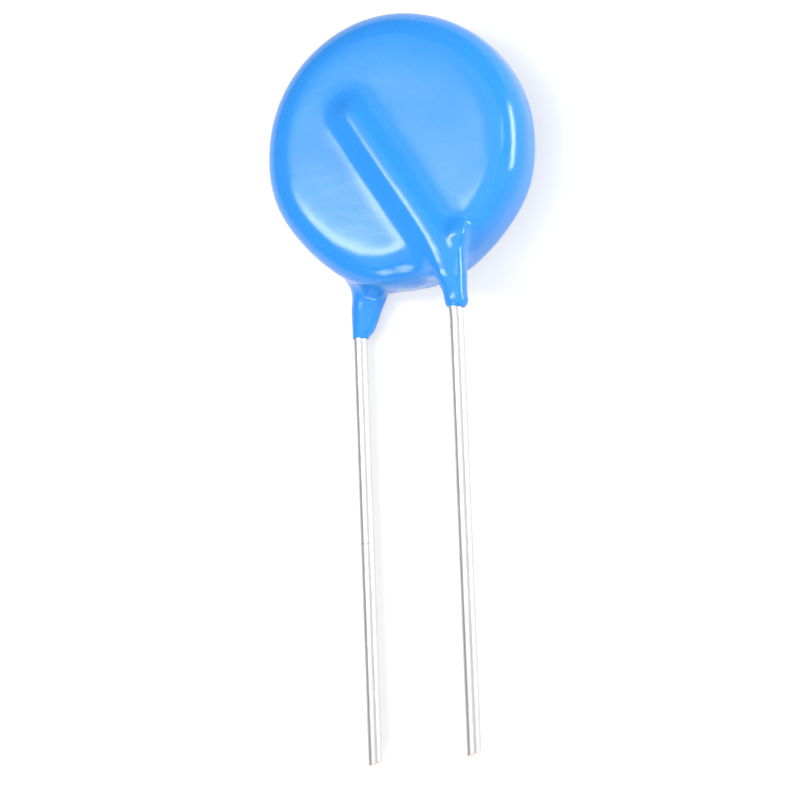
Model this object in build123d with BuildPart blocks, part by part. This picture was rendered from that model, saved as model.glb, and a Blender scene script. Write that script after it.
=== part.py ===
"""A disc varistor with two radial wire leads, lying on its back.

A sintered zinc-oxide disc carries a fired silver electrode on each face. A wire lies slantwise
across each electrode, held by a bead of solder, bends at an elbow below the disc's middle and
runs straight out. An epoxy coat, dipped over all of it, shows each wire as a blended ridge and
follows each lead down a short way as a tapering drip.

Millimetres. The leads point along -Y and the disc's axis is Z, with the front face up. Y = 0 is
the seating plane, where the coat stops the part above a board. X = Z = 0 is midway between the
leads. Turned half round about the Y axis, every piece but the leads' tips and the drips' ends
meets its twin.
"""
from build123d import *
from math import atan2, cos, degrees, radians, sin, sqrt, tan
import os

# Ceramic disc and its electrodes
disc_diameter = 14.0
disc_thickness = 3.6
disc_chamfer = 0.25             # left by the pressing die
electrode_margin = 0.7          # bare ceramic left around each electrode
electrode_thickness = 0.03

# Wire leads
wire_diameter = 0.8
lead_pitch = 7.5                # between the leads, across the disc
lead_reach = 24.6               # from the seating plane to the rear lead's tip
front_lead_short = 0.6          # the front lead is cut this much shorter
tip_cut_slant = 20.0            # degrees, left by the cutters, long side at -X
slant = 32.0                    # degrees, of the stretch that crosses the electrode
slant_length = 10.9             # from its aim on the lead's line to the wire's end
elbow_height = 2.9              # of that aim, over the seating plane
elbow_radius = 5.0
wire_lean = 12.0                # degrees, taken up inside the drip, before the elbow
wire_lean_radius = 5.0          # of the bend that takes the lean up

# Solder beads
solder_film = 0.02              # left between wire and electrode
solder_length = 7.0
solder_width = 2.2
solder_height = 0.55
solder_flank = 45.0             # degrees, how far the sides lean in
solder_past_wire = 0.5          # beyond the wire's end

# Epoxy coat
coat_on_face = 0.7
coat_on_edge = 0.85
coat_on_wire = 0.52
coat_on_wire_end = 0.08         # the wall left where the drip stops
coat_rim_round = 2.0
coat_sag = 0.25                 # the coat is this much longer than wide, from draining down
drip_length = 2.3               # from the coat's lowest rim to the seating plane
drip_lean = 12.0                # degrees, from the lead towards the disc's axis
drip_shoulder = 0.8             # the drip starts to narrow this far below the rim beside it
front_drip_short = 0.6          # the front drip stops this much above the seating plane
ridge_blend = 2.0

disc_radius = disc_diameter / 2
wire_radius = wire_diameter / 2
electrode_face = disc_thickness / 2 + electrode_thickness
wire_z = electrode_face + solder_film + wire_radius
lead_x = lead_pitch / 2

coat_radius = disc_radius + coat_on_edge
coat_half = disc_thickness / 2 + coat_on_face
disc_y = drip_length + coat_sag + coat_radius
disc_axis = Axis((0, disc_y, 0), (0, 0, 1))


def heading(lean):
    """Up from the seating plane, leaning lean degrees towards the disc's axis."""
    return Vector(-sin(radians(lean)), cos(radians(lean)), 0)


along_slant = heading(slant)
along_lean = heading(wire_lean)
along_drip = heading(drip_lean)
slant_aim = Vector(lead_x, elbow_height, wire_z)    # on the lead's line
wire_end = slant_aim + along_slant * slant_length


def corner(foot, lean):
    """Where a line from foot, leaning lean degrees, meets the line of the slanted stretch."""
    slant_tan, lean_tan = tan(radians(slant)), tan(radians(lean))
    rise = (slant_aim.X - foot.X + (slant_aim.Y - foot.Y) * slant_tan) / (slant_tan - lean_tan)
    return foot + Vector(-rise * lean_tan, rise, 0)


# The wire leans in a tight bend at the seating plane, then rounds the corner at its elbow
lean_centre = Vector(lead_x - wire_lean_radius, 0, wire_z)
lean_end = lean_centre + Vector(along_lean.Y, -along_lean.X, 0) * wire_lean_radius
elbow_reach = elbow_radius * tan(radians((slant - wire_lean) / 2))
elbow_start = corner(lean_end, wire_lean) - along_lean * elbow_reach
elbow_end = corner(lean_end, wire_lean) + along_slant * elbow_reach
elbow_centre = elbow_start - Vector(along_lean.Y, -along_lean.X, 0) * elbow_radius


def wire_plane(origin, along):
    """A plane across the wire, turned so that a sketch's seam faces into the disc."""
    return Plane(origin=origin, x_dir=(0, 0, -1), z_dir=along)


def upright_axis(centre):
    """The axis that a bend swings about, along +Z."""
    return Axis((centre.X, centre.Y, 0), (0, 0, 1))


with BuildPart() as ceramic_disc:
    with BuildSketch(Plane.XY.offset(-disc_thickness / 2)):
        with Locations((0, disc_y)):
            Circle(disc_radius)
    extrude(amount=disc_thickness)
    chamfer(ceramic_disc.edges().filter_by(GeomType.CIRCLE), length=disc_chamfer)
ceramic_disc.part.label = "ceramic_disc"

with BuildPart() as front_electrode:
    with BuildSketch(Plane.XY.offset(disc_thickness / 2)):
        with Locations((0, disc_y)):
            Circle(disc_radius - electrode_margin)
    extrude(amount=electrode_thickness)
front_electrode.part.label = "front_electrode"

with BuildPart() as rear_electrode:
    add(front_electrode.part, rotation=(0, 180, 0))
rear_electrode.part.label = "rear_electrode"

# One formed wire serves both sides: lead, lean, elbow and slanted stretch
with BuildPart() as formed_wire:
    with BuildSketch(Plane.XZ):
        with Locations((lead_x, wire_z)):
            Circle(wire_radius)
    extrude(amount=lead_reach)
    with BuildSketch(Plane.XZ):
        with Locations((lead_x, wire_z)):
            Circle(wire_radius)
    revolve(axis=upright_axis(lean_centre), revolution_arc=wire_lean)
    with BuildSketch(wire_plane(lean_end, along_lean)):
        Circle(wire_radius)
    extrude(amount=(elbow_start - lean_end).length)
    with BuildSketch(wire_plane(elbow_start, along_lean)):
        Circle(wire_radius)
    revolve(axis=upright_axis(elbow_centre), revolution_arc=slant - wire_lean)
    with BuildSketch(wire_plane(elbow_end, along_slant)):
        Circle(wire_radius)
    extrude(amount=(wire_end - elbow_end).length)


def tip_cut(x, reach):
    """The cutters' plane at the tip of a lead on the line X = x."""
    normal = (-sin(radians(tip_cut_slant)), cos(radians(tip_cut_slant)), 0)
    return Plane(origin=(x - wire_radius, -reach, 0), z_dir=normal)


with BuildPart() as front_lead:
    add(formed_wire.part)
    split(bisect_by=tip_cut(lead_x, lead_reach - front_lead_short), keep=Keep.TOP)
front_lead.part.label = "front_lead"

with BuildPart() as rear_lead:
    add(formed_wire.part, rotation=(0, 180, 0))
    split(bisect_by=tip_cut(-lead_x, lead_reach), keep=Keep.TOP)
rear_lead.part.label = "rear_lead"

# The bead is a slot with leaning sides along the wire, which leaves its own groove in it
bead_middle = wire_end + along_slant * (solder_past_wire - solder_length / 2)
with BuildPart() as front_solder:
    with BuildSketch(Plane.XY.offset(electrode_face)):
        with Locations((bead_middle.X, bead_middle.Y)):
            SlotOverall(solder_length, solder_width, rotation=90 + slant)
    extrude(amount=solder_height, taper=solder_flank)
    add(formed_wire.part, mode=Mode.SUBTRACT)
front_solder.part.label = "front_solder"

with BuildPart() as rear_solder:
    add(front_solder.part, rotation=(0, 180, 0))
rear_solder.part.label = "rear_solder"

# Half of the coat's section: flat faces with a rounded rim between them
with BuildSketch() as coat_section:
    with Locations((coat_radius / 2, 0)):
        Rectangle(coat_radius, 2 * coat_half)
    fillet(
        coat_section.vertices().group_by(Axis.X)[-1],
        radius=min(coat_rim_round, 0.9 * coat_half),
    )

# The ridge is a thicker skin over the wire's slanted stretch. It swings round into a drip that
# leans from the lead and narrows to a thin wall where it stops.
ridge_radius = wire_radius + coat_on_wire
rim_beside_drip = disc_y - coat_sag - sqrt(coat_radius**2 - lead_x**2)


def ridge(drip_stop):
    """The front ridge before it is blended in, its drip ending drip_stop over the seating plane."""
    drip_foot = Vector(lead_x, drip_stop, wire_z)
    # The swing rounds off the corner between drip and slanted stretch, from the shoulder up
    swing_corner = corner(drip_foot, drip_lean)
    swing_reach = (swing_corner.Y - rim_beside_drip + drip_shoulder) / along_drip.Y
    swing_radius = swing_reach / tan(radians((slant - drip_lean) / 2))
    swing_start = swing_corner - along_drip * swing_reach
    swing_end = swing_corner + along_slant * swing_reach
    swing_centre = swing_start - Vector(along_drip.Y, -along_drip.X, 0) * swing_radius
    drip_run = (swing_start - drip_foot).length
    with BuildPart() as shape:
        # The leaning cone runs on past its foot, to be cut square with the lead
        with BuildSketch(wire_plane(swing_start, -along_drip)):
            Circle(ridge_radius)
        drip_taper = degrees(atan2(coat_on_wire - coat_on_wire_end, drip_run))
        extrude(amount=drip_run + wire_radius, taper=drip_taper)
        split(bisect_by=Plane.XZ.offset(-drip_stop), keep=Keep.BOTTOM)
        with BuildSketch(wire_plane(swing_start, along_drip)):
            Circle(ridge_radius)
        revolve(axis=upright_axis(swing_centre), revolution_arc=slant - drip_lean)
        with BuildSketch(wire_plane(swing_end, along_slant)):
            Circle(ridge_radius)
        extrude(amount=(wire_end - swing_end).length)
        with Locations(wire_plane(wire_end, along_slant)):
            Sphere(ridge_radius)
    return shape.part


with BuildPart() as epoxy_coat:
    # Two half discs, the lower one let down by the sag, and the strip between them
    with BuildSketch(Plane.XZ.offset(-disc_y)):
        add(coat_section.sketch)
    revolve(axis=disc_axis, revolution_arc=180)
    with BuildSketch(Plane.XZ.offset(coat_sag - disc_y)):
        add(coat_section.sketch)
    revolve(axis=Axis((0, disc_y - coat_sag, 0), (0, 0, -1)), revolution_arc=180)
    with BuildSketch(Plane.XZ.offset(-disc_y)):
        add(coat_section.sketch)
        mirror(about=Plane.YZ)
    extrude(amount=coat_sag)
    # Both ridges, blended where they rise out of the faces and leave the rim
    add(ridge(front_drip_short))
    fillet(epoxy_coat.edges(Select.NEW), radius=ridge_blend)
    add(ridge(0), rotation=(0, 180, 0))
    fillet(epoxy_coat.edges(Select.NEW), radius=ridge_blend)
    # What the coat was dipped over
    for inner in (
        ceramic_disc, front_electrode, rear_electrode, front_solder, rear_solder,
        front_lead, rear_lead,
    ):
        add(inner.part, mode=Mode.SUBTRACT)
epoxy_coat.part.label = "epoxy_coat"

os.makedirs("parts", exist_ok=True)
export_step(ceramic_disc.part, "parts/ceramic_disc.step")
export_step(front_electrode.part, "parts/front_electrode.step")
export_step(rear_electrode.part, "parts/rear_electrode.step")
export_step(front_lead.part, "parts/front_lead.step")
export_step(rear_lead.part, "parts/rear_lead.step")
export_step(front_solder.part, "parts/front_solder.step")
export_step(rear_solder.part, "parts/rear_solder.step")
export_step(epoxy_coat.part, "parts/epoxy_coat.step")
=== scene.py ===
from math import cos, pi, radians, sin

import bpy
from mathutils import Matrix, Vector


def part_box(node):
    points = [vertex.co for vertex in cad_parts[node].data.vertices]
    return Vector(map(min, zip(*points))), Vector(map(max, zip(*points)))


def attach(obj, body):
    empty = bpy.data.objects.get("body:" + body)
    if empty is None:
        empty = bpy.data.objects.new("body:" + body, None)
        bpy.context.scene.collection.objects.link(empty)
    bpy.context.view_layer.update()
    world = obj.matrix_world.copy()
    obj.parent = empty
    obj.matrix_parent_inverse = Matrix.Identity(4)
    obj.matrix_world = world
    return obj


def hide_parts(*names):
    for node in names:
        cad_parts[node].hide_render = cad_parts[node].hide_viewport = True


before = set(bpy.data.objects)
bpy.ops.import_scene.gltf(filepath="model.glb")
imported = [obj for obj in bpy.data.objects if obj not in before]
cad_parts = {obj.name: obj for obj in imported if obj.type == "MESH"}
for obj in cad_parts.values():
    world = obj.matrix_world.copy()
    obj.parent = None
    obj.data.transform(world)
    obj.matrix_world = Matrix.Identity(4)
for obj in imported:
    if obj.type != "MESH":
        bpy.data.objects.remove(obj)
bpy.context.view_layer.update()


# ---- Ceramic disc ----
# A slug of zinc oxide powder, pressed in a die and sintered until its grains fuse. It is a matt,
# nearly black grey-green, paler where the pressing skin is rubbed through on its chamfered edge,
# and lightly pitted all over. The whole disc is sealed inside the coat.

MM = 0.001                       # a millimetre in metres
HALF_THICKNESS = 1.80            # mm from the disc's middle plane to its faces


class Value:
    """An output socket in a finish. Arithmetic on it adds Math nodes."""

    def __init__(self, finish, socket):
        self.finish = finish
        self.socket = socket

    def reckon(self, operation, first, second):
        return self.finish.node("Math", {"operation": operation}, {0: first, 1: second})

    def __add__(self, other):
        return self.reckon("ADD", self, other)

    def __radd__(self, other):
        return self.reckon("ADD", other, self)

    def __sub__(self, other):
        return self.reckon("SUBTRACT", self, other)

    def __rsub__(self, other):
        return self.reckon("SUBTRACT", other, self)

    def __mul__(self, other):
        return self.reckon("MULTIPLY", self, other)

    def __rmul__(self, other):
        return self.reckon("MULTIPLY", other, self)


class Finish:
    """A material, or the world, while it is made up on its first shader."""

    def __init__(self, owner, shader="Principled BSDF"):
        owner.use_nodes = True
        self.owner = owner
        self.tree = owner.node_tree
        self.surface = self.tree.nodes[shader]
        self.place = self.node("TexCoord", {}, {}, "Object")

    def node(self, kind, settings, sockets, output=0):
        """Adds any node: its settings first, then the values or links of its sockets."""
        made = self.tree.nodes.new("ShaderNode" + kind)
        for name, setting in settings.items():
            setattr(made, name, setting)
        for name, value in sockets.items():
            self.feed(made.inputs[name], value)
        return Value(self, made.outputs[output])

    def feed(self, socket, value):
        if isinstance(value, Value):
            self.tree.links.new(value.socket, socket)
        else:
            socket.default_value = value

    def shade(self, **sockets):
        """Sets or links the first shader's sockets, Base_Color for Base Color."""
        for name, value in sockets.items():
            self.feed(self.surface.inputs[name.replace("_", " ")], value)

    def show_on(self, rays, seen):
        """Shows the first shader, but the shader seen to the rays that are named."""
        plain = Value(self, self.surface.outputs[0])
        sight = sum(self.node("LightPath", {}, {}, ray) for ray in rays)
        mixed = self.node("MixShader", {}, {0: sight, 1: plain, 2: seen(plain)})
        ending = next(node for node in self.tree.nodes if node.type.startswith("OUTPUT"))
        self.feed(ending.inputs["Surface"], mixed)

    def stretched(self, x, y, z):
        """The piece's own coordinates in millimetres, each axis squeezed so many times."""
        squeeze = (x / MM, y / MM, z / MM)
        return self.node("VectorMath", {"operation": "MULTIPLY"}, {0: self.place, 1: squeeze})

    def clouds(self, where, scale, detail=2.0, roughness=0.5):
        sockets = {"Vector": where, "Scale": scale, "Detail": detail, "Roughness": roughness}
        return self.node("TexNoise", {}, sockets)

    def cells(self, where, scale, output="Distance"):
        return self.node("TexVoronoi", {}, {"Vector": where, "Scale": scale}, output)

    def ease(self, value, start, stop, first=0.0, last=1.0):
        """A smooth change from first to last as the value goes from start to stop."""
        sockets = {"Value": value, 1: start, 2: stop, 3: first, 4: last}
        return self.node("MapRange", {"interpolation_type": "SMOOTHSTEP"}, sockets)

    def blend(self, share, first, second):
        return self.node("Mix", {"data_type": "RGBA"}, {0: share, 6: first, 7: second}, 2)

    def bump(self, height, depth, strength=1.0, under=None):
        """Raises the surface by depth metres where height is 1, over another bump."""
        sockets = {"Height": height, "Distance": depth, "Strength": strength}
        if under is not None:
            sockets["Normal"] = under
        return self.node("Bump", {}, sockets)

    def put_on(self, *pieces):
        for piece in pieces:
            piece.data.materials.clear()
            piece.data.materials.append(self.owner)


zinc_oxide = Finish(bpy.data.materials.new("zinc_oxide"))
grain_place = zinc_oxide.stretched(1, 1, 1)
grain = zinc_oxide.clouds(grain_place, 9.0, 6.0, 0.65)
mottle = zinc_oxide.clouds(grain_place, 0.7, 3.0)
pits = zinc_oxide.ease(zinc_oxide.cells(grain_place, 3.5), 0.05, 0.16)
height = zinc_oxide.node("SeparateXYZ", {}, {0: grain_place}, "Z")
off_face = zinc_oxide.node("Math", {"operation": "ABSOLUTE"}, {0: height})
near_face = zinc_oxide.ease(off_face + grain * 0.25, HALF_THICKNESS - 0.18, HALF_THICKNESS - 0.02)
rubbed = near_face * zinc_oxide.ease(off_face, HALF_THICKNESS, HALF_THICKNESS - 0.01)
body_colour = zinc_oxide.blend(mottle, (0.030, 0.034, 0.031, 1), (0.058, 0.064, 0.058, 1))
fired_colour = zinc_oxide.blend(grain * 0.6, body_colour, (0.11, 0.12, 0.105, 1))
edge_colour = zinc_oxide.blend(rubbed * 0.55, fired_colour, (0.19, 0.20, 0.18, 1))
zinc_oxide.shade(
    Base_Color=zinc_oxide.blend(1 - pits, edge_colour, (0.015, 0.016, 0.015, 1)),
    Roughness=0.62 + grain * 0.2,
    Normal=zinc_oxide.bump(grain * 0.4 + pits, 0.012 * MM),
)
zinc_oxide.put_on(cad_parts["ceramic_disc"])


# ---- Electrodes ----
# Silver paste, screen printed on each face of the disc and fired. The mesh of the screen shows
# in it as a fine square weave, and it yellows in thin patches towards its printed edge.

SCREEN_PITCH = 0.11              # mm between the threads of the printing screen

fired_silver = Finish(bpy.data.materials.new("fired_silver"))
print_place = fired_silver.stretched(1, 1, 1)
threads = []
for direction in ("X", "Y"):
    settings = {"wave_type": "BANDS", "bands_direction": direction}
    sockets = {"Vector": print_place, "Scale": 0.314 / SCREEN_PITCH, "Distortion": 0.4}
    threads.append(fired_silver.node("TexWave", settings, sockets, "Fac"))
weave = threads[0] * threads[1]
silver_grain = fired_silver.clouds(print_place, 22.0, 4.0, 0.6)
thin_paste = fired_silver.ease(fired_silver.clouds(print_place, 0.45, 4.0), 0.45, 0.75)
clean_silver = fired_silver.blend(weave, (0.70, 0.69, 0.66, 1), (0.82, 0.81, 0.78, 1))
fired_silver.shade(
    Base_Color=fired_silver.blend(thin_paste * 0.7, clean_silver, (0.66, 0.58, 0.42, 1)),
    Metallic=0.92 - thin_paste * 0.2,
    Roughness=0.34 + silver_grain * 0.22 + thin_paste * 0.1,
    Normal=fired_silver.bump(weave * 0.6 + silver_grain * 0.4, 0.006 * MM),
)
fired_silver.put_on(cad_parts["front_electrode"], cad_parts["rear_electrode"])


# ---- Wire leads ----
# Copper wire, drawn through a die and hot tinned. The die leaves faint lines along it, and the tin
# lies a little unevenly, with a few nicks from the forming tools. The cutters bare the copper at
# each tip, where a smear of tin is dragged over the edge of the cut.

LEAD_X = 3.75                    # mm from the middle to each lead
LEAD_Z = 2.25                    # mm from the middle plane, the two leads either side of it

tinned_wire = Finish(bpy.data.materials.new("tinned_wire"))
wire_place = tinned_wire.stretched(1, 1, 1)
drawn_place = tinned_wire.stretched(1, 0.035, 1)
die_lines = tinned_wire.clouds(drawn_place, 16.0, 5.0, 0.6)
fine_lines = tinned_wire.clouds(drawn_place, 48.0, 2.0)
tin_flow = tinned_wire.clouds(tinned_wire.stretched(1, 0.3, 1), 1.6, 3.0)
tin_grain = tinned_wire.clouds(wire_place, 30.0, 3.0)
nick_place = tinned_wire.stretched(0.25, 2.4, 0.25)
nicks = tinned_wire.ease(tinned_wire.clouds(nick_place, 1.1, 3.0), 0.69, 0.76)
across = []
for axis, to_lead in (("X", LEAD_X), ("Z", LEAD_Z)):
    place_along = tinned_wire.node("SeparateXYZ", {}, {0: wire_place}, axis)
    to_side = tinned_wire.node("Math", {"operation": "ABSOLUTE"}, {0: place_along})
    across.append(to_side - to_lead)
from_axis_squared = across[0] * across[0] + across[1] * across[1]
facing = tinned_wire.node("NewGeometry", {}, {}, "Normal")
down_lead = tinned_wire.node("SeparateXYZ", {}, {0: facing}, "Y") * -1.0
cut_face = tinned_wire.ease(down_lead, 0.80, 0.88)
smear = tin_flow * 0.10 + 0.06
bare_copper = cut_face * tinned_wire.ease(from_axis_squared, smear, smear - 0.02)
tin_colour = tinned_wire.blend(tin_flow, (0.62, 0.62, 0.61, 1), (0.76, 0.765, 0.77, 1))
dulled = tinned_wire.blend(nicks * 0.6, tin_colour, (0.40, 0.40, 0.41, 1))
deep_lines = tinned_wire.ease(die_lines, 0.62, 0.80)
lined = tinned_wire.blend(deep_lines * 0.6, dulled, (0.42, 0.42, 0.43, 1))
copper_colour = tinned_wire.blend(tin_grain, (0.78, 0.36, 0.20, 1), (0.90, 0.52, 0.34, 1))
lead_bump = tinned_wire.bump(die_lines * 0.7 + fine_lines * 0.3, 0.004 * MM)
tinned_wire.shade(
    Base_Color=tinned_wire.blend(bare_copper, lined, copper_colour),
    Metallic=1.0,
    Roughness=0.36 + tin_grain * 0.10 + nicks * 0.12 + cut_face * 0.08,
    Normal=tinned_wire.bump(tin_flow - nicks * 0.6, 0.010 * MM, 1.0, lead_bump),
)
tinned_wire.put_on(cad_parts["front_lead"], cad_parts["rear_lead"])


# ---- Solder beads ----
# Soft solder that holds each wire along its electrode. It sets with a dull crystalline skin and
# shallow flow rings, and a little amber flux stays in the groove beside the wire.

soft_solder = Finish(bpy.data.materials.new("soft_solder"))
bead_place = soft_solder.stretched(1, 1, 1)
crystals = soft_solder.cells(bead_place, 5.5, "Color")
crystal_tone = soft_solder.node("SeparateColor", {}, {0: crystals}, "Red")
flow = soft_solder.node(
    "TexWave", {"wave_type": "RINGS"},
    {"Vector": bead_place, "Scale": 0.5, "Distortion": 5.0, "Detail": 3.0}, "Fac",
)
flux = soft_solder.ease(soft_solder.clouds(bead_place, 1.3, 4.0), 0.55, 0.72)
bead_colour = soft_solder.blend(crystal_tone, (0.50, 0.50, 0.49, 1), (0.68, 0.68, 0.66, 1))
soft_solder.shade(
    Base_Color=soft_solder.blend(flux * 0.6, bead_colour, (0.36, 0.22, 0.08, 1)),
    Metallic=0.95 - flux * 0.7,
    Roughness=0.30 + crystal_tone * 0.2 - flux * 0.12,
    Normal=soft_solder.bump(flow * 0.7 + crystal_tone * 0.3, 0.02 * MM),
)
soft_solder.put_on(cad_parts["front_solder"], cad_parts["rear_solder"])


# ---- Epoxy coat ----
# Epoxy powder that melts on the hot disc as it is dipped and turned, so it has no corners. It is
# thin over the rim's edges, thick where it wets the wires, wavy by a few hundredths of a
# millimetre, and draws down each lead into a drip with a rounded foot.

GRAIN_OF_SKIN = 0.11             # mm between the points of the melted skin
TENSION_PASSES = 70              # of smoothing, where the skin is thick enough to flow
# Each drop in mm: its foot, its top, its radius and how far its ends are rounded. They are the
# front sleeve, the bump on the front elbow, the rear sleeve, the root outside it and the web inside.
DROPS = (
    ((LEAD_X, 0.62, LEAD_Z), (LEAD_X + 0.15, 4.9, LEAD_Z + 0.10), 0.60, 0.32),
    ((LEAD_X + 0.30, 4.50, LEAD_Z - 0.5), (LEAD_X + 0.42, 4.90, LEAD_Z + 0.78), 0.62, 0.30),
    ((-LEAD_X + 0.03, 0.02, -LEAD_Z), (-LEAD_X + 0.30, 4.9, -LEAD_Z - 0.05), 0.49, 0.18),
    ((-LEAD_X - 0.05, 3.05, -LEAD_Z + 0.1), (-LEAD_X - 1.15, 4.95, -0.85), 0.38, 0.18),
    ((-LEAD_X + 0.30, 0.35, -LEAD_Z), (-LEAD_X + 1.62, 3.1, -LEAD_Z + 0.3), 0.48, 0.20),
)
# Bands up the coat: from and to which height in mm, and how fully a change takes there
FLOW_BANDS = ((-1, 1.2, 0.0), (1.2, 2.0, 0.15), (2.0, 2.8, 0.4), (2.8, 20, 1.0))
DRIP_BANDS = ((-1, 2.4, 1.0), (2.4, 3.2, 0.6), (3.2, 4.0, 0.25))
# Each pull in mm: where the skin is held, how far round it gives, and how far it goes
PULLS = (
    ((2.85, 2.0, 2.3), 1.1, (0.26, 0.0, 0.0)),
    ((-5.6, 4.8, 0.0), 4.0, (0.16, 0.12, 0.0)),
    ((5.6, 4.8, 0.0), 4.0, (-0.16, 0.12, 0.0)),
    ((-1.9, 2.4, -1.2), 1.4, (0.0, -0.18, 0.0)),
    ((-1.6, 4.2, 2.4), 3.2, (0.0, -0.26, 0.0)),
)


def only(piece):
    """Leaves this piece selected and active, alone."""
    bpy.ops.object.select_all(action="DESELECT")
    piece.select_set(True)
    bpy.context.view_layer.objects.active = piece


def apply_modifier(kind, **settings):
    """Adds a modifier to the active piece, sets it and applies it."""
    bpy.ops.object.modifier_add(type=kind)
    modifier = bpy.context.object.modifiers[-1]
    for name, setting in settings.items():
        setattr(modifier, name, setting)
    bpy.ops.object.modifier_apply(modifier=modifier.name)


def mark_bands(piece, name, bands):
    """A vertex group of the piece, by height up the coat."""
    marked = piece.vertex_groups.new(name=name)
    for low, high, share in bands:
        band = [point.index for point in piece.data.vertices if low < point.co.y / MM <= high]
        marked.add(band, share, "REPLACE")


def set_with_clouds(name, size, octaves, **settings):
    """Moves the active piece's skin in and out by soft noise of a size in mm."""
    noise = bpy.data.textures.new(name, "CLOUDS")
    noise.noise_scale = size * MM
    noise.noise_depth = octaves
    apply_modifier("DISPLACE", texture=noise, texture_coords="GLOBAL", **settings)


def coax(piece, near, reach, shift):
    """Moves the skin round a point in mm by shift, fading out over reach."""
    only(piece)
    held = Vector(near) * MM
    bpy.ops.object.mode_set(mode="EDIT")
    bpy.ops.mesh.select_mode(type="VERT")
    bpy.ops.mesh.select_all(action="DESELECT")
    bpy.ops.object.mode_set(mode="OBJECT")
    nearest = min((point.co - held).length for point in piece.data.vertices)
    for point in piece.data.vertices:
        point.select = (point.co - held).length < nearest + 0.15 * MM
    bpy.ops.object.mode_set(mode="EDIT")
    bpy.ops.transform.translate(
        value=Vector(shift) * MM, use_proportional_edit=True,
        proportional_edit_falloff="SMOOTH", proportional_size=reach * MM,
    )
    bpy.ops.object.mode_set(mode="OBJECT")


# A copy of the moulded coat, without the frame's tags, and with its loose triangles merged
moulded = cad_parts["epoxy_coat"]
dipped = moulded.copy()
dipped.data = moulded.data.copy()
dipped.parent = None
for name in list(dipped.keys()):
    del dipped[name]
bpy.context.scene.collection.objects.link(dipped)
dipped.name = "dipped_coat"
only(dipped)
bpy.ops.object.mode_set(mode="EDIT")
bpy.ops.mesh.select_all(action="SELECT")
bpy.ops.mesh.remove_doubles(threshold=0.0001 * MM)
bpy.ops.mesh.customdata_custom_splitnormals_clear()
bpy.ops.object.mode_set(mode="OBJECT")

# The last drops run down, and join the skin as it melts to one again. The sleeves also stop the
# wires' passages, which closes the skin.
drops = []
for foot, top, radius, rounded in DROPS:
    along = (Vector(top) - Vector(foot)) * MM
    bpy.ops.mesh.primitive_cylinder_add(
        vertices=48, radius=radius * MM, depth=along.length,
        location=Vector(foot) * MM + along / 2,
        rotation=along.to_track_quat("Z", "Y").to_euler(),
    )
    drop = bpy.context.object
    drop.data.transform(drop.matrix_world)
    drop.matrix_world = Matrix.Identity(4)
    bpy.ops.object.mode_set(mode="EDIT")
    bpy.ops.mesh.bevel(offset=rounded * MM, segments=4)
    bpy.ops.object.mode_set(mode="OBJECT")
    drops.append(drop)
only(dipped)
for drop in drops:
    drop.select_set(True)
bpy.ops.object.join()
apply_modifier("REMESH", mode="VOXEL", voxel_size=GRAIN_OF_SKIN * MM, adaptivity=0.0)
apply_modifier("SMOOTH", factor=0.5, iterations=8)

# Surface tension rounds the thick skin of the body far more than the thin one down the leads
mark_bands(dipped, "flows", FLOW_BANDS)
apply_modifier("SMOOTH", factor=0.5, iterations=TENSION_PASSES, vertex_group="flows")

# Gravity and the hand that dips it pull the skin a little out of true
for near, reach, shift in PULLS:
    coax(dipped, near, reach, shift)

# It cures in slow waves, and the drips set lumpy over a shorter length
set_with_clouds("cure_waves", 5, 1, strength=0.08 * MM, mid_level=0.5)
mark_bands(dipped, "drips", DRIP_BANDS)
set_with_clouds(
    "drip_lumps", 1.1, 0, strength=0.10 * MM, mid_level=0.45, vertex_group="drips",
)
bpy.ops.object.shade_smooth()

blue_epoxy = Finish(bpy.data.materials.new("blue_epoxy"))
coat_place = blue_epoxy.stretched(1, 1, 1)
slow = blue_epoxy.clouds(coat_place, 0.22, 2.0)
fleck = blue_epoxy.clouds(coat_place, 14.0, 4.0, 0.6)
peel = blue_epoxy.clouds(coat_place, 1.5, 2.0)
fine_peel = blue_epoxy.clouds(coat_place, 5.0, 2.0)
specks = blue_epoxy.ease(blue_epoxy.cells(coat_place, 1.1), 0.035, 0.06)
deep_blue = blue_epoxy.blend(slow, (0.021, 0.265, 0.85, 1), (0.032, 0.315, 0.91, 1))
pigment = blue_epoxy.blend(blue_epoxy.ease(fleck, 0.35, 0.75), deep_blue, (0.038, 0.34, 0.94, 1))
blue_epoxy.shade(
    Base_Color=blue_epoxy.blend((1 - specks) * 0.5, pigment, (0.02, 0.16, 0.62, 1)),
    Roughness=0.13 + fine_peel * 0.06 + slow * 0.05,
    IOR=1.5,
    Normal=blue_epoxy.bump(
        fine_peel * 0.25 + specks * 0.5, 0.004 * MM, 1.0, blue_epoxy.bump(peel, 0.008 * MM),
    ),
)
blue_epoxy.put_on(dipped, moulded)
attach(dipped, "root")
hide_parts("epoxy_coat")


# ---- Table ----
# A plain sheet of white card that the part lies on, with a soft fibrous face. It keeps the part's
# shadow. Where the eye or a reflection meets it, it glows to white, without lighting the part.

TABLE_SIZE = 280                 # mm
TABLE_GAP = 0.01                 # mm under the coat

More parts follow.
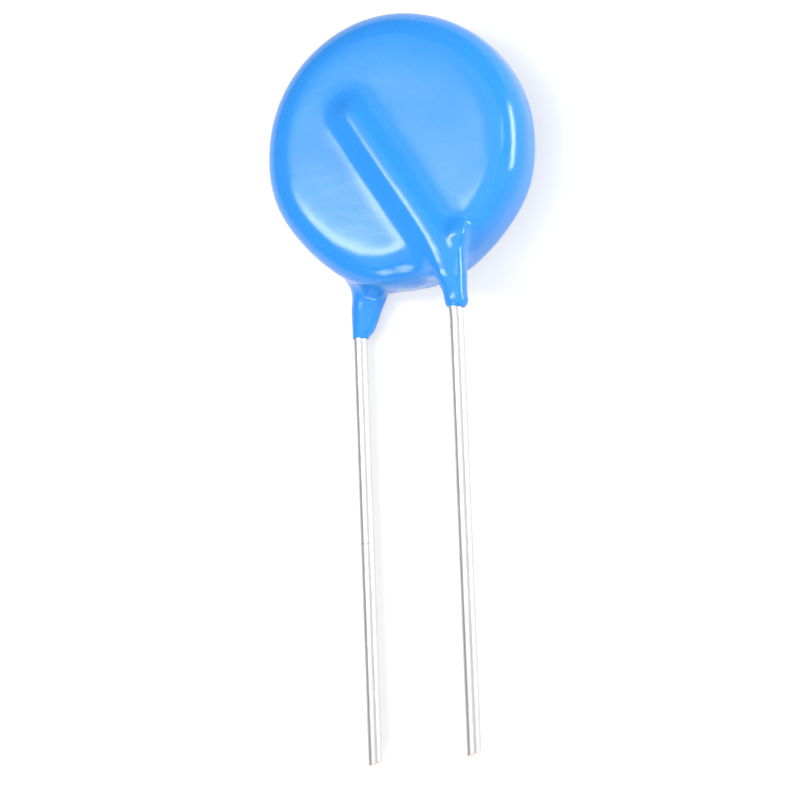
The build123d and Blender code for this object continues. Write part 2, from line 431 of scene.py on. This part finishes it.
table_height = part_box("epoxy_coat")[0].z
bpy.ops.object.select_all(action="DESELECT")
bpy.ops.mesh.primitive_plane_add(
    size=TABLE_SIZE * MM, location=(0, 0, table_height - TABLE_GAP * MM),
)
table = bpy.context.object
table.name = "table"
white_card = Finish(bpy.data.materials.new("white_card"))
card_place = white_card.stretched(1, 1, 1)
fibres = white_card.clouds(card_place, 4.0, 4.0)
white_card.shade(
    Base_Color=white_card.blend(fibres, (0.51, 0.51, 0.51, 1), (0.53, 0.53, 0.53, 1)),
    Roughness=0.9,
    Specular_IOR_Level=0.0,
    Normal=white_card.bump(fibres, 0.01 * MM, 0.3),
)
glow = white_card.node("Emission", {}, {"Strength": 0.56})
white_card.show_on(
    ("Is Camera Ray", "Is Glossy Ray", "Is Transmission Ray"),
    lambda card: white_card.node("AddShader", {}, {0: card, 1: glow}),
)
white_card.put_on(table)


# ---- Studio light ----
# A pale room with a large soft panel overhead, and smaller panels that draw the coat's highlights:
# three over its face, one low in front, and a strip and a spot at the right along its rim. A broad
# dim panel fills the side that faces away from them.

disc_low, disc_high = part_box("ceramic_disc")
disc_middle = (disc_low + disc_high) / 2


def panel(name, direction, distance, width, height, brightness):
    """A soft panel that faces the disc from a distance in mm. A brightness of 1 shows as white."""
    toward = Vector(direction).normalized()
    lamp = bpy.data.lights.new(name, "AREA")
    lamp.shape = "RECTANGLE"
    lamp.size = width * MM
    lamp.size_y = height * MM
    lamp.energy = brightness * pi * lamp.size * lamp.size_y
    stand = bpy.data.objects.new(name, lamp)
    bpy.context.scene.collection.objects.link(stand)
    across_panel = Vector((0, 1, 0)).cross(toward).normalized()
    turned = Matrix((across_panel, toward.cross(across_panel), toward)).transposed().to_4x4()
    stand.matrix_world = Matrix.Translation(disc_middle + toward * distance * MM) @ turned


panel("overhead", (0.0, 0.0, 1.0), 350, 500, 500, 0.68)
panel("soft_box", (-50, 21, 138), 150, 60, 41, 2.1)
panel("left_shoulder", (-60, 4, 138), 150, 70, 28, 12.0)
panel("front_shoulder", (-10, 2, 138), 138, 26, 26, 7.0)
panel("right_strip", (150, 25, 26), 154, 34, 100, 15.0)
panel("low_front", (-38, -123, 58), 150, 44, 60, 7.0)
panel("right_spot", (0.65, 0.2, 0.72), 150, 20, 30, 4.0)
panel("right_fill", (0.75, -0.45, 0.5), 350, 320, 320, 0.4)

# The walls light the part dimly, but stand white behind it
walls = Finish(bpy.data.worlds.new("room"), "Background")
walls.shade(Color=(1, 1, 1, 1), Strength=0.25)
white_wall = walls.node("Background", {}, {"Color": (1, 1, 1, 1), "Strength": 1.0})
walls.show_on(("Is Camera Ray",), lambda dim_wall: white_wall)
bpy.context.scene.world = walls.owner
bpy.context.scene.view_settings.view_transform = "Standard"


# ---- Camera ----
# It looks down on the part from its right and a little from the leads' end, 130 mm away, and aims
# between the leads, a little below the seating plane.

CAMERA_AIM = Vector((-0.61, -4.0, 0.0)) * MM
AZIMUTH = radians(20.26)
ELEVATION = radians(-6.73)
ROLL = radians(2.12)
CAMERA_DISTANCE = 130.4 * MM
FOCAL_LENGTH = 103.44            # mm, on a sensor of 36 mm

toward_camera = Vector((
    sin(AZIMUTH) * cos(ELEVATION), sin(ELEVATION), cos(AZIMUTH) * cos(ELEVATION),
))
level_right = Vector((0, 1, 0)).cross(toward_camera).normalized()
level_up = toward_camera.cross(level_right)
camera_right = level_right * cos(ROLL) - level_up * sin(ROLL)
camera_up = level_right * sin(ROLL) + level_up * cos(ROLL)
lens = bpy.data.cameras.new("camera")
lens.sensor_width = 36
lens.lens = FOCAL_LENGTH
lens.clip_start = 1 * MM
camera = bpy.data.objects.new("camera", lens)
bpy.context.scene.collection.objects.link(camera)
facing_part = Matrix((camera_right, camera_up, toward_camera)).transposed().to_4x4()
stand_point = CAMERA_AIM + toward_camera * CAMERA_DISTANCE
camera.matrix_world = Matrix.Translation(stand_point) @ facing_part
bpy.context.scene.camera = camera
